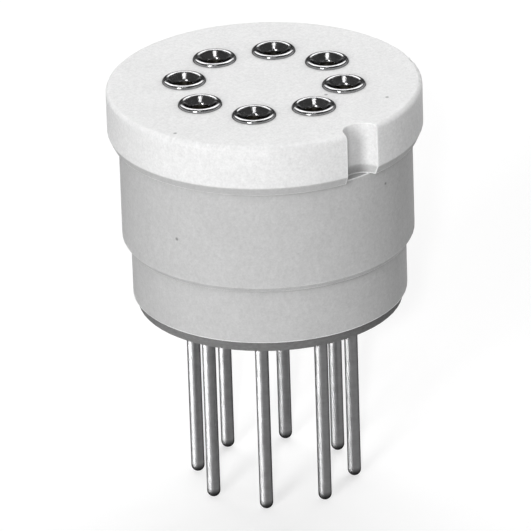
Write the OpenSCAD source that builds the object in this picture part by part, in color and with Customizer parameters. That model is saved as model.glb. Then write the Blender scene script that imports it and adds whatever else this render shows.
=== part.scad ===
// Round component socket with eight contacts on a circle.
// The insulator is pressed into a panel from above, its flange rests on the panel, and the
// leads of a round component go into the contacts. The solder tails stand out below.
//
// Millimetres. +Z is the socket's axis and points out of the lead entries. The origin is on
// the axis in the plane where the flange rests on the panel. The index notch faces -Y, and
// contact 8 is behind it. Seen from above, contact 1 is the next one anticlockwise.

/* [Insulator] */
// Diameter of the barrel that is pressed into the panel
barrel_d = 9.3; // [7.8:0.1:14]
// Length of the barrel below the flange
barrel_l = 3.45; // [2.9:0.05:6]
// Width of the lead-in slope at the barrel's lower edge
barrel_slope_w = 0.10; // [0.02:0.02:0.2]
// Height of the lead-in slope at the barrel's lower edge
barrel_slope_h = 0.17; // [0.05:0.01:0.4]
// How far the flange stands out from the barrel
flange_lip = 0.35; // [0.25:0.05:1.5]
// Height of the flange above the panel
flange_h = 1.70; // [1.0:0.05:2.5]
// Radius of the flange's upper edge
flange_edge_r = 0.14; // [0.02:0.02:0.3]
// Width of the slope under the flange's rim
flange_slope_w = 0.14; // [0.04:0.02:0.2]
// Height of the slope under the flange's rim
flange_slope_h = 0.30; // [0.1:0.05:0.6]
// How far the pilot is set in from the barrel
pilot_step = 0.275; // [0.225:0.025:0.4]
// Length of the pilot
pilot_l = 1.85; // [1.5:0.05:4]

/* [Index notch] */
// Width of the notch in the flange, which is the diameter of its round inner end
notch_w = 1.20; // [0.6:0.05:2]
// Depth of the notch in from the flange's rim
notch_depth = 0.65; // [0.4:0.01:1.1]

/* [Base wafer] */
// How far the disc that closes the underside is set in from the pilot
wafer_step = 0.15; // [0:0.05:0.3]
// Thickness of the disc
wafer_t = 0.35; // [0.2:0.05:1]

/* [Contacts] */
// Diameter of the circle that the contacts stand on
contact_circle_d = 5.08; // [4.2:0.02:6.2]
// Diameter of the shank in the insulator
shank_d = 1.15; // [0.94:0.01:1.4]
// How far the head stands out from the shank
head_lip = 0.12; // [0.05:0.01:0.2]
// Height of the head above the flange
head_h = 0.10; // [0.08:0.01:0.4]
// Width of the head's rounded rim, from its side to its crest
rim_w = 0.13; // [0.1:0.005:0.18]
// Radius of the crest's inner edge, where the countersink begins, at most half the head's height
crest_edge_r = 0.05; // [0.02:0.01:0.08]
// Diameter of the lead entry
entry_d = 0.66; // [0.5:0.02:0.8]
// Length of the lead entry's straight wall
entry_l = 0.25; // [0.15:0.05:0.5]
// Wall of the chamber that holds the clip
chamber_wall = 0.09; // [0.07:0.01:0.11]
// Depth of the chamber's floor below the flange's top
chamber_depth = 4.0; // [3.3:0.1:4.8]
// How far the barb stands out from the shank
barb_w = 0.06; // [0.03:0.01:0.1]
// Height of the barb
barb_h = 0.35; // [0.2:0.05:0.6]
// Depth of the barb's square upper edge below the flange's top
barb_depth = 1.8; // [0.8:0.1:2.5]
// Diameter of the neck that passes the disc
neck_d = 0.80; // [0.6:0.05:0.9]
// Diameter of the solder tail
tail_d = 0.43; // [0.35:0.01:0.55]
// Length of the solder tail below the disc, with its round tip
tail_l = 6.35; // [3:0.05:12]

/* [Spring clips] */
// Wall of the clip
clip_wall = 0.07; // [0.05:0.01:0.09]
// Length of the ring at the top of the clip
clip_ring_l = 0.60; // [0.4:0.05:0.9]
// How much narrower, all round, the ring is at its lower end
clip_ring_taper = 0.02; // [0.01:0.01:0.05]
// Length of the sprung fingers down to where they grip the lead
finger_l = 1.70; // [1.3:0.1:2.1]
// Diameter of the gap between the fingers where they grip the lead
grip_d = 0.40; // [0.32:0.02:0.5]
// Length of the fingers' flared ends
flare_l = 0.30; // [0.1:0.05:0.4]
// How far the fingers' ends flare out
flare_w = 0.04; // [0.01:0.01:0.06]
// Width of the slots between the fingers
slot_w = 0.12; // [0.06:0.02:0.16]
// Number of slots cut right across the clip
slot_cuts = 2; // [1:1:3]

/* [Fits] */
// Gap all round between each contact and the insulator or the disc
contact_clearance = 0.01; // [0.005:0.005:0.03]
// Gap all round between the clip's ring and its chamber
clip_clearance = 0.01; // [0.005:0.005:0.03]
// Gap above the clip, above the barb and between the shank and the disc
end_clearance = 0.03; // [0.01:0.01:0.1]

/* [Hidden] */
$fn = 96;
contact_count = 8;
contact_step = 360 / contact_count;
notch_direction = -90;
cut_past = 1;

// the insulator's steps, from the barrel outwards and downwards
barrel_r = barrel_d / 2;
flange_r = barrel_r + flange_lip;
pilot_r = barrel_r - pilot_step;
wafer_r = pilot_r - wafer_step;
barrel_end_z = -barrel_l;
pilot_end_z = barrel_end_z - pilot_l;
wafer_end_z = pilot_end_z - wafer_t;

// the contact's steps, from the shank outwards and inwards
shank_r = shank_d / 2;
head_r = shank_r + head_lip;
crest_r = head_r - rim_w;
barb_r = shank_r + barb_w;
chamber_r = shank_r - chamber_wall;
entry_r = entry_d / 2;
neck_r = neck_d / 2;
tail_r = tail_d / 2;

// the countersink slopes at 45 degrees and is a tangent to the crest's inner edge
crest_z = flange_h + head_h;
inner_edge_r = min(crest_edge_r, head_h / 2);
sink_top_r = crest_r - inner_edge_r * sin(45);
sink_top_z = crest_z - inner_edge_r * (1 - sin(45));
entry_top_z = sink_top_z - (sink_top_r - entry_r);
entry_end_z = entry_top_z - entry_l;
chamber_end_z = flange_h - chamber_depth;
barb_top_z = flange_h - barb_depth;
barb_end_z = barb_top_z - barb_h;
shank_end_z = pilot_end_z + end_clearance;
tail_end_z = wafer_end_z - tail_l;

// the clip's ring, then its fingers down to the grip, then their flared ends
clip_top_r = chamber_r - clip_clearance;
clip_top_z = entry_end_z - end_clearance;
clip_ring_end_r = clip_top_r - clip_ring_taper;
clip_ring_end_z = clip_top_z - clip_ring_l;
grip_outer_r = grip_d / 2 + clip_wall;
grip_z = clip_ring_end_z - finger_l;
flare_outer_r = grip_outer_r + flare_w;
clip_end_z = grip_z - flare_l;

// Puts a piece that is drawn on the Z axis on the contact circle, counted from the notch.
module at_contact(i) {
    rotate([0, 0, notch_direction + i * contact_step])
        translate([contact_circle_d / 2, 0, 0])
            children();
}

// Cut from an outline's outer upper corner at x, z, this rounds it to radius r.
module corner_cut(x, z, r) {
    translate([x - r, z - r])
        difference() {
            square(r + cut_past);
            circle(r = r, $fn = 48);
        }
}

// Outline of half the insulator, from the axis outwards.
module insulator_profile() {
    difference() {
        polygon([
            [0, flange_h],
            [flange_r, flange_h],
            [flange_r, flange_slope_h],
            [flange_r - flange_slope_w, 0],
            [barrel_r, 0],
            [barrel_r, barrel_end_z + barrel_slope_h],
            [barrel_r - barrel_slope_w, barrel_end_z],
            [pilot_r, barrel_end_z],
            [pilot_r, pilot_end_z],
            [0, pilot_end_z]
        ]);
        corner_cut(flange_r, flange_h, flange_edge_r);
    }
}

// Hole for one contact's shank, right through the insulator, with a groove for the barb.
module shank_hole() {
    hole_r = shank_r + contact_clearance;
    groove_r = barb_r + contact_clearance;
    rotate_extrude()
        polygon([
            [0, flange_h + cut_past],
            [hole_r, flange_h + cut_past],
            [hole_r, barb_top_z + end_clearance],
            [groove_r, barb_top_z + end_clearance],
            [groove_r, barb_top_z],
            [hole_r, barb_end_z],
            [hole_r, pilot_end_z - cut_past],
            [0, pilot_end_z - cut_past]
        ]);
}

// Slot with a round inner end in the flange's rim, open to the side and above, down to the
// panel's plane.
module index_notch() {
    rotate([0, 0, notch_direction])
        translate([flange_r - notch_depth + notch_w / 2, 0, 0]) {
            cylinder(d = notch_w, h = flange_h + cut_past);
            translate([0, -notch_w / 2, 0])
                cube([notch_depth + cut_past, notch_w, flange_h + cut_past]);
        }
}

module insulator_body() {
    color("whitesmoke")
        difference() {
            rotate_extrude()
                insulator_profile();
            index_notch();
            for (i = [1:contact_count])
                at_contact(i)
                    shank_hole();
        }
}

// The disc under the insulator. The shanks stand on it, and their necks and tails pass it.
module base_wafer() {
    color("dimgray")
        translate([0, 0, wafer_end_z])
            difference() {
                cylinder(r = wafer_r, h = wafer_t);
                for (i = [1:contact_count])
                    at_contact(i)
                        translate([0, 0, -cut_past])
                            cylinder(r = neck_r + contact_clearance, h = wafer_t + 2 * cut_past);
            }
}

// Outline of half a sleeve before it is bored: head, barb, shank, neck and tail.
module sleeve_blank() {
    polygon([
        [0, crest_z],
        [head_r, crest_z],
        [head_r, flange_h],
        [shank_r, flange_h],
        [shank_r, barb_top_z],
        [barb_r, barb_top_z],
        [shank_r, barb_end_z],
        [shank_r, shank_end_z],
        [neck_r, shank_end_z],
        [neck_r, wafer_end_z],
        [tail_r, wafer_end_z],
        [tail_r, tail_end_z + tail_r],
        [0, tail_end_z + tail_r]
    ]);
}

// Outline of half the hollow in a sleeve: countersink, lead entry and clip chamber.
module sleeve_hollow() {
    polygon([
        [0, crest_z + cut_past],
        [crest_r, crest_z + cut_past],
        [crest_r, crest_z],
        [sink_top_r, sink_top_z],
        [entry_r, entry_top_z],
        [entry_r, entry_end_z],
        [chamber_r, entry_end_z],
        [chamber_r, chamber_end_z],
        [0, chamber_end_z]
    ]);
}

module sleeve_profile() {
    difference() {
        sleeve_blank();
        sleeve_hollow();
        corner_cut(head_r, crest_z, min(rim_w, head_h));
    }
    translate([crest_r, crest_z - inner_edge_r])
        circle(r = inner_edge_r, $fn = 32);
}

module contact_sleeve(i) {
    color("silver")
        at_contact(i) {
            rotate_extrude()
                sleeve_profile();
            translate([0, 0, tail_end_z + tail_r])
                sphere(r = tail_r, $fn = 48);
        }
}

// Outline of the clip's wall: a ring that grips the chamber, then fingers that close in on
// the lead and flare at their ends.
module clip_profile() {
    outer = [
        [clip_top_r, clip_top_z],
        [clip_ring_end_r, clip_ring_end_z],
        [grip_outer_r, grip_z],
        [flare_outer_r, clip_end_z]
    ];
    inner = [for (k = [len(outer) - 1:-1:0]) outer[k] - [clip_wall, 0]];
    polygon(concat(outer, inner));
}

module contact_clip(i) {
    slot_l = finger_l + flare_l + cut_past;
    color("silver")
        at_contact(i)
            difference() {
                rotate_extrude()
                    clip_profile();
                for (k = [0:slot_cuts - 1])
                    rotate([0, 0, k * 180 / slot_cuts])
                        translate([-shank_d, -slot_w / 2, clip_ring_end_z - slot_l])
                            cube([2 * shank_d, slot_w, slot_l]);
            }
}

insulator_body();
base_wafer();
for (i = [1:contact_count]) {
    contact_sleeve(i);
    contact_clip(i);
}
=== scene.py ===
import math

import bpy
from mathutils import Matrix, Vector

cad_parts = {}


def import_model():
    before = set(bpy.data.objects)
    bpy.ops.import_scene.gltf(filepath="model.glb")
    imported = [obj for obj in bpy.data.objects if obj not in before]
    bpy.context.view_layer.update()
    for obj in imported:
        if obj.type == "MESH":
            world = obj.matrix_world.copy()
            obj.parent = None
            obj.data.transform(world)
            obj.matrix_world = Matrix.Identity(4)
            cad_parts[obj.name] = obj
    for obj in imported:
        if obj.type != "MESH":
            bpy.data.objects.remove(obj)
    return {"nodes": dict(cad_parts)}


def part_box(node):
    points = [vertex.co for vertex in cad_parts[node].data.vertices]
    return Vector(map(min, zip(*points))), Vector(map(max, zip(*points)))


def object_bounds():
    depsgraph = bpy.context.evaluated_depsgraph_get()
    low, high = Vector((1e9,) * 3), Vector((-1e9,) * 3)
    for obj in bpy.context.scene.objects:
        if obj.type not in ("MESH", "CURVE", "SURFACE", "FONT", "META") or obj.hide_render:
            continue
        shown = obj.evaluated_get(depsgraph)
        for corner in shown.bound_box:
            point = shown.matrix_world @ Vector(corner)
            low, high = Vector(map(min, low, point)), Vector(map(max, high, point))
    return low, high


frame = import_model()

cad_lo, cad_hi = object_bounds()
MM = 0.001
NODES = frame["nodes"]

# The camera seen from the object: azimuth and elevation in degrees, distance in metres.
CAM_AZ, CAM_EL, CAM_DIST = 232.71, 23.543, 0.250
# Its aim in degrees: below the middle of the top face, to the left of it, and its roll.
CAM_DROP, CAM_SIDE, CAM_ROLL = 1.3190, -0.0122, -1.836
# Lens and sensor width in mm, and the nearest and farthest it sees in metres.
LENS, SENSOR = 537.5, 36.0
CLIP_NEAR, CLIP_FAR = 0.01, 10.0

# Most of a noise lies between these two values.
NOISE_LOW, NOISE_HIGH = 0.3, 0.7

# Greys of the insulator: the barrel's own, the flange's painted whiter as a painted glow of light
# let through its thin rim, and the painted edge highlight; and the heights between which the
# barrel's grey passes into the flange's.
BARREL_TONE, FLANGE_GLOW_TONE, EDGE_HIGHLIGHT_TONE = 0.55, 0.81, 0.97
GLOW_FROM, GLOW_TO = 0.22 * MM, 0.34 * MM
# How far the painted edge highlight reaches from an edge, and how near two faces count as an inner
# corner for the painted shade.
HIGHLIGHT_REACH, SHADE_REACH = 0.09 * MM, 0.45 * MM
# Cosine of the turn of the rounded normal where an edge's painted highlight is full, and where
# there is none.
HIGHLIGHT_FULL, HIGHLIGHT_NONE = 0.90, 0.995
# Dirt: cells per metre, the share of cells left clean, and how much darker a speck is.
SPECK_CELLS, SPECK_CLEAN, SPECK_DARK = 800.0, 0.35, 0.5
# Radius of a speck's dark core and of its soft edge, in cells.
SPECK_CORE, SPECK_RIM = 0.03, 0.06

# Colours of the two platings.
PLATE = (0.46, 0.46, 0.465, 1.0)
CLIP_PLATE = (0.62, 0.57, 0.46, 1.0)
# A contact's edges look rounded by this much.
LIP_ROUND = 0.11 * MM
# The tail's duller finish and its painted shade set in over this much above and below the wafer's
# underside.
TAIL_FADE = 0.02 * MM
# Heights above a tail's end between which its painted dark tip fades out, and how dark it is:
# painted shade for the dark ground the tip reflects.
TIP_FROM, TIP_TO, TIP_PAINTED_SHADE = 0.16 * MM, 0.34 * MM, 0.18

# The world's strength low down and overhead, for the light that falls on the object.
WORLD_LOW, WORLD_HIGH = 0.15, 0.07
# Heights on a sky of radius 1: where it starts to fade upwards, and where that ends for the
# light on the object and for reflections in metal.
SKY_FROM, ROOM_TO, SWEEP_TO = 0.02, 0.60, 0.35
# The floor's own grey, which takes the shadow, what it adds for rays that see the background,
# and half its side in metres.
FLOOR_TONE, FLOOR_LIFT, FLOOR_HALF = 0.42, 0.62, 1.5
LAMP_DIST = 0.35


# ---------------------------------------------------------------- node helpers

class Tree:
    """A short way to build a node tree: a call adds a node, sets its inputs and returns it."""

    def __init__(self, tree):
        self.t = tree
        tree.nodes.clear()

    def node(self, kind, inputs=None, **props):
        n = self.t.nodes.new(kind)
        for k, v in props.items():
            setattr(n, k, v)
        for k, v in (inputs or {}).items():
            if isinstance(v, bpy.types.NodeSocket):
                self.t.links.new(v, n.inputs[k])
            else:
                n.inputs[k].default_value = v
        return n

    def math(self, op, a, b):
        return self.node("ShaderNodeMath", {0: a, 1: b}, operation=op).outputs[0]

    def times(self, first, *others):
        for other in others:
            first = self.math("MULTIPLY", first, other)
        return first

    def inverse(self, value):
        return self.math("SUBTRACT", 1.0, value)

    def noise(self, vector, scale, detail=2.0, rough=0.5):
        """A cloudy pattern; scale is in features per metre."""
        return self.node("ShaderNodeTexNoise", {
            "Vector": vector, "Scale": scale, "Detail": detail, "Roughness": rough}).outputs["Fac"]

    def span(self, value, a, b, c, d, kind="LINEAR"):
        """Maps a..b to c..d and holds the ends."""
        return self.node("ShaderNodeMapRange", {
            "Value": value, "From Min": a, "From Max": b, "To Min": c, "To Max": d,
        }, interpolation_type=kind).outputs[0]

    def vary(self, noise, low, high):
        """Spreads a noise over low..high."""
        return self.span(noise, NOISE_LOW, NOISE_HIGH, low, high)

    def blend(self, share, a, b):
        """a where share is 0, b where it is 1."""
        return self.node("ShaderNodeMix", {0: share, 2: a, 3: b}, data_type="FLOAT").outputs[0]

    def grey(self, value):
        return self.node("ShaderNodeCombineColor", {0: value, 1: value, 2: value}).outputs[0]

    def stretch(self, vector, x, y, z):
        """Scales the axes of a pattern: under 1 draws it out along that axis."""
        return self.node("ShaderNodeVectorMath", {0: vector, 1: (x, y, z)},
                         operation="MULTIPLY").outputs[0]

    def place(self):
        """The point in the object's frame, and its height."""
        at = self.node("ShaderNodeTexCoord").outputs["Object"]
        return at, self.node("ShaderNodeSeparateXYZ", {0: at}).outputs[2]


def material(name):
    m = bpy.data.materials.new(name)
    m.use_nodes = True
    return m, Tree(m.node_tree)


def add(name, data):
    ob = bpy.data.objects.new(name, data)
    bpy.context.scene.collection.objects.link(ob)
    return ob


# ---------------------------------------------------------------- materials

def specks(t, at):
    """1 in tiny scattered dots of dirt, 0 elsewhere."""
    cell = t.node("ShaderNodeTexVoronoi", {"Vector": at, "Scale": SPECK_CELLS})
    lot = t.node("ShaderNodeSeparateColor", {0: cell.outputs["Color"]}).outputs[0]
    dot = t.span(cell.outputs["Distance"], SPECK_CORE, SPECK_RIM, 1.0, 0.0)
    return t.times(dot, t.math("GREATER_THAN", lot, SPECK_CLEAN))


def painted_edge_highlight(t, cloud):
    """Painted highlight: 1 along the edges, patchily, and 0 on the faces."""
    rounded = t.node("ShaderNodeBevel", {"Radius": HIGHLIGHT_REACH}, samples=8).outputs[0]
    face = t.node("ShaderNodeNewGeometry").outputs["Normal"]
    turn = t.node("ShaderNodeVectorMath", {0: rounded, 1: face},
                  operation="DOT_PRODUCT").outputs["Value"]
    return t.times(t.span(turn, HIGHLIGHT_FULL, HIGHLIGHT_NONE, 1.0, 0.0),
                   t.span(cloud, 0.35, 0.55, 0.35, 1.0))


def insulator_material():
    """Natural white fluoroplastic: waxy and a little translucent, with grain, rings and specks."""
    m, t = material("insulator_white")
    at, z = t.place()
    cloud = t.noise(at, 900.0, detail=3.0, rough=0.55)
    mottle = t.noise(at, 6500.0, detail=3.0, rough=0.6)
    grain = t.noise(at, 16000.0, rough=0.6)
    # How open each point is to light from round about; used below to paint shade into inner
    # corners.
    clear = t.node("ShaderNodeAmbientOcclusion", {"Distance": SHADE_REACH},
                   samples=8).outputs["AO"]
    # Painted glow: the flange is painted whiter than the barrel, standing in for light that comes
    # through the thin flange from its top face.
    # Painted shade: inner corners, and the skin close to a contact's head, are painted greyer
    # where less light reaches them.
    tone = t.times(t.span(z, GLOW_FROM, GLOW_TO, BARREL_TONE, FLANGE_GLOW_TONE, "SMOOTHSTEP"),
                   t.vary(cloud, 0.975, 1.02),
                   t.span(grain, 0.25, 0.75, 0.93, 1.07),
                   t.vary(mottle, 0.95, 1.05),
                   t.span(clear, 0.35, 0.95, 0.62, 1.0),
                   t.inverse(t.times(specks(t, at), SPECK_DARK)))
    # Painted highlight: edges are painted whiter than the faces, standing in for the light caught
    # on their rounding.
    edge_highlight = painted_edge_highlight(t, cloud)
    tone = t.math("ADD", t.times(tone, t.inverse(edge_highlight)), t.times(edge_highlight, EDGE_HIGHLIGHT_TONE))
    rings = t.noise(t.stretch(at, 0.02, 0.02, 1.0), 22000.0, detail=1.0)
    height = t.math("ADD", t.times(grain, 0.6), t.times(rings, 0.4))
    bump = t.node("ShaderNodeBump", {"Strength": 0.25, "Distance": 0.004 * MM, "Height": height})
    p = t.node("ShaderNodeBsdfPrincipled", {
        "Base Color": t.grey(tone), "Roughness": t.vary(cloud, 0.54, 0.66),
        "Normal": bump.outputs[0], "IOR": 1.35, "Specular IOR Level": 0.05,
        "Subsurface Weight": 0.35, "Subsurface Radius": (1.0, 1.0, 1.0),
        "Subsurface Scale": 0.5 * MM})
    t.node("ShaderNodeOutputMaterial", {"Surface": p.outputs[0]})
    return m


def wafer_material():
    """Dark grey laminate disc with a fine fibrous grain."""
    m, t = material("wafer_grey")
    at, _ = t.place()
    fibre = t.noise(t.stretch(at, 1.0, 1.0, 3.0), 7000.0, detail=3.0, rough=0.6)
    bump = t.node("ShaderNodeBump", {"Strength": 0.3, "Distance": 0.005 * MM, "Height": fibre})
    p = t.node("ShaderNodeBsdfPrincipled", {
        "Base Color": t.grey(t.vary(fibre, 0.14, 0.19)), "Roughness": t.vary(fibre, 0.5, 0.65),
        "Normal": bump.outputs[0], "Specular IOR Level": 0.05})
    t.node("ShaderNodeOutputMaterial", {"Surface": p.outputs[0]})
    return m


def metal_material(name, colour, rough_low, rough_high, tail_painted_shade=1.0, tail_rough=0.0):
    """Plated turned metal, whose highlights are drawn out along the contact.

    Below the wafer tail_rough is added to its roughness, and its colour is multiplied by
    tail_painted_shade, painted shade for the darker surroundings the tails reflect; the very tip
    is painted dark for the dark ground it reflects."""
    m, t = material(name)
    at, z = t.place()
    below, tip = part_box("base_wafer")[0].z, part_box("contact_sleeve_1")[0].z
    tail = t.span(z, below - TAIL_FADE, below + TAIL_FADE, 1.0, 0.0)
    cloud = t.noise(at, 3500.0, detail=3.0, rough=0.6)
    rings = t.noise(t.stretch(at, 0.15, 0.15, 1.0), 26000.0)
    plated = t.times(t.vary(cloud, 0.84, 1.06), t.vary(rings, 0.94, 1.03))
    # Painted shade: the tail below the wafer and its very tip are painted darker for the dark
    # surroundings they reflect.
    painted_dark_tail = t.times(t.span(tail, 0.0, 1.0, 1.0, tail_painted_shade),
                     t.span(z, tip + TIP_FROM, tip + TIP_TO, TIP_PAINTED_SHADE, 1.0))
    rough = t.math("ADD", t.vary(cloud, rough_low, rough_high), t.times(tail, tail_rough))
    base = t.node("ShaderNodeMix", {0: 1.0, "A": colour, "B": t.grey(t.times(plated, painted_dark_tail))},
                  data_type="RGBA", blend_type="MULTIPLY")
    soft = t.node("ShaderNodeBevel", {"Radius": LIP_ROUND}, samples=12).outputs[0]
    bump = t.node("ShaderNodeBump", {"Strength": 0.12, "Distance": 0.002 * MM, "Height": rings,
                                     "Normal": soft})
    around = t.node("ShaderNodeTangent", direction_type="RADIAL", axis="Z")
    # A quarter turn of the rotation carries the highlight from round the contact to along it.
    p = t.node("ShaderNodeBsdfPrincipled", {
        "Base Color": base.outputs[2], "Metallic": 1.0, "Roughness": rough,
        "Specular Tint": (0.0, 0.0, 0.0, 1.0), "Normal": bump.outputs[0],
        "Anisotropic": 0.6, "Anisotropic Rotation": 0.25, "Tangent": around.outputs[0]})
    t.node("ShaderNodeOutputMaterial", {"Surface": p.outputs[0]})
    return m


def dress(prefix, mat):
    """Gives the material to every CAD node whose name starts with prefix."""
    for name, ob in NODES.items():
        if name.startswith(prefix):
            for s in ob.material_slots:
                s.material = mat
            if not ob.material_slots:
                ob.data.materials.append(mat)


dress("insulator_body", insulator_material())
dress("base_wafer", wafer_material())
dress("contact_sleeve", metal_material("contact_plate", PLATE, rough_low=0.13, rough_high=0.20,
                                       tail_painted_shade=0.42, tail_rough=0.24))
dress("contact_clip", metal_material("clip_plate", CLIP_PLATE, rough_low=0.3, rough_high=0.4))


# ---------------------------------------------------------------- studio

def background_rays(t):
    """1 for a ray that sees the plain background: from the camera, off metal or through glass."""
    path = t.node("ShaderNodeLightPath")
    seen = t.math("MAXIMUM", path.outputs["Is Camera Ray"], path.outputs["Is Glossy Ray"])
    return t.math("MAXIMUM", seen, path.outputs["Is Transmission Ray"])


def floor():
    """A plain pale floor, clear from below so that it never hides the underside."""
    me = bpy.data.meshes.new("floor")
    s, z = FLOOR_HALF, cad_lo.z
    me.from_pydata([(-s, -s, z), (s, -s, z), (s, s, z), (-s, s, z)], [], [(0, 1, 2, 3)])
    ob = add("floor", me)
    m, t = material("floor_white")
    matte = t.node("ShaderNodeBsdfDiffuse", {"Color": (FLOOR_TONE, FLOOR_TONE, FLOOR_TONE, 1.0)})
    lift = t.node("ShaderNodeEmission", {"Strength": t.times(background_rays(t), FLOOR_LIFT)})
    both = t.node("ShaderNodeAddShader", {0: matte.outputs[0], 1: lift.outputs[0]})
    clear = t.node("ShaderNodeBsdfTransparent")
    under = t.node("ShaderNodeNewGeometry").outputs["Backfacing"]
    mix = t.node("ShaderNodeMixShader", {0: under, 1: both.outputs[0], 2: clear.outputs[0]})
    t.node("ShaderNodeOutputMaterial", {"Surface": mix.outputs[0]})
    me.materials.append(m)


def world():
    """A dim room lights the object. Metal sees it white low down; the camera sees only white."""
    w = bpy.data.worlds.new("studio")
    bpy.context.scene.world = w
    w.use_nodes = True
    t = Tree(w.node_tree)
    way = t.node("ShaderNodeTexCoord").outputs["Generated"]
    up = t.node("ShaderNodeSeparateXYZ", {0: way}).outputs[2]
    room = t.span(up, SKY_FROM, ROOM_TO, WORLD_LOW, WORLD_HIGH, "SMOOTHSTEP")
    sweep = t.span(up, SKY_FROM, SWEEP_TO, 1.0, WORLD_HIGH, "SMOOTHSTEP")
    sight = t.node("ShaderNodeLightPath").outputs["Is Camera Ray"]
    strength = t.blend(background_rays(t), room, t.blend(sight, sweep, 1.0))
    bg = t.node("ShaderNodeBackground", {"Color": (1.0, 1.0, 1.0, 1.0), "Strength": strength})
    t.node("ShaderNodeOutputWorld", {"Surface": bg.outputs[0]})


def direction(azimuth, elevation):
    """A unit vector away from the object; azimuth is from the camera's, positive to its right."""
    a, e = math.radians(CAM_AZ + azimuth), math.radians(elevation)
    return Vector((math.cos(a) * math.cos(e), math.sin(a) * math.cos(e), math.sin(e)))


def facing(way):
    """The rotation of a lamp or camera that looks along way."""
    return way.to_track_quat("-Z", "Y")


def softbox(name, azimuth, elevation, size, level, distance=LAMP_DIST, matte=True, shine=True):
    """A rectangular lamp aimed at the object, of size (width, height) in metres.

    level is how bright a white surface facing it comes out. With matte off it is a card that
    shows only as a reflection; with shine off it never shows as one."""
    lamp = bpy.data.lights.new(name, "AREA")
    lamp.shape = "RECTANGLE"
    lamp.size, lamp.size_y = size
    lamp.energy = level * math.pi ** 2 * distance ** 2
    ob = add(name, lamp)
    ob.location = direction(azimuth, elevation) * distance
    ob.rotation_euler = facing(-ob.location).to_euler()
    ob.visible_diffuse, ob.visible_glossy, ob.visible_camera = matte, shine, False


def sun(name, azimuth, elevation, angle, level):
    """A far lamp that never shows as a reflection; angle is how wide it looks, in degrees."""
    lamp = bpy.data.lights.new(name, "SUN")
    lamp.angle = math.radians(angle)
    lamp.energy = level * math.pi
    ob = add(name, lamp)
    ob.rotation_euler = facing(-direction(azimuth, elevation)).to_euler()
    ob.visible_glossy = False


floor()
world()
softbox("key", -27, 20, size=(0.08, 0.16), level=0.60)
# Close by, and low enough that the top face and the contact heads never see it.
softbox("card", -66, -6, size=(0.05, 0.012), level=5.0, distance=0.055, matte=False)
softbox("edge", 112, 14, size=(0.10, 0.20), level=0.16, shine=False)
softbox("top", 180, 50, size=(0.42, 0.24), level=0.87)
softbox("spot", -6, 70, size=(0.09, 0.03), level=0.05)
sun("front", -3.5, 25, angle=2.6, level=0.32)


# ---------------------------------------------------------------- camera

def camera():
    cam = bpy.data.cameras.new("camera")
    cam.sensor_width, cam.lens = SENSOR, LENS
    cam.clip_start, cam.clip_end = CLIP_NEAR, CLIP_FAR
    ob = add("camera", cam)
    bpy.context.scene.camera = ob
    focus = Vector((0, 0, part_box("insulator_body")[1].z))
    back = direction(0, CAM_EL)
    ob.location = focus + back * CAM_DIST
    roll = Matrix.Rotation(math.radians(CAM_ROLL), 3, "Z")
    drop = Matrix.Rotation(math.radians(-CAM_DROP), 3, "X")
    side = Matrix.Rotation(math.radians(CAM_SIDE), 3, "Y")
    ob.rotation_euler = (facing(-back).to_matrix() @ roll @ (drop @ side)).to_euler()


camera()

bpy.context.scene.view_settings.view_transform = "Standard"
